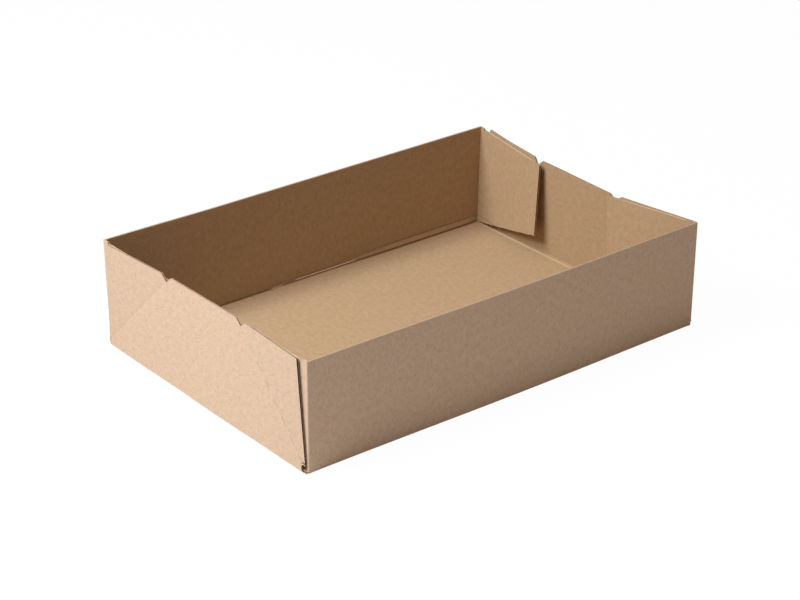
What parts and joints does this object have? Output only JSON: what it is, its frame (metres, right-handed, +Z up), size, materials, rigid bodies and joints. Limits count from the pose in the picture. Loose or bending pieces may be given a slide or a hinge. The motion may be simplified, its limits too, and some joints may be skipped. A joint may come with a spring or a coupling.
{
  "type": "cardboard tray box",
  "caption": "Shallow open tray box folded and glued from one sheet of corrugated cardboard, with leaning end panels, diagonal creases, V notches and inner glue flaps.",
  "frame": {"origin": "middle of the flat underside, under the middle of the box's bounding box", "axes": "+X along the length, towards the end panel that leans in most; +Y along the width; +Z up, out of the open top"},
  "size_m": [0.4778, 0.319, 0.11],
  "materials": {
    "kraft_board": "matte unbleached kraft"
  },
  "bodies": {
    "root": {"tray": "kraft_board"}
  },
  "joints": []
}
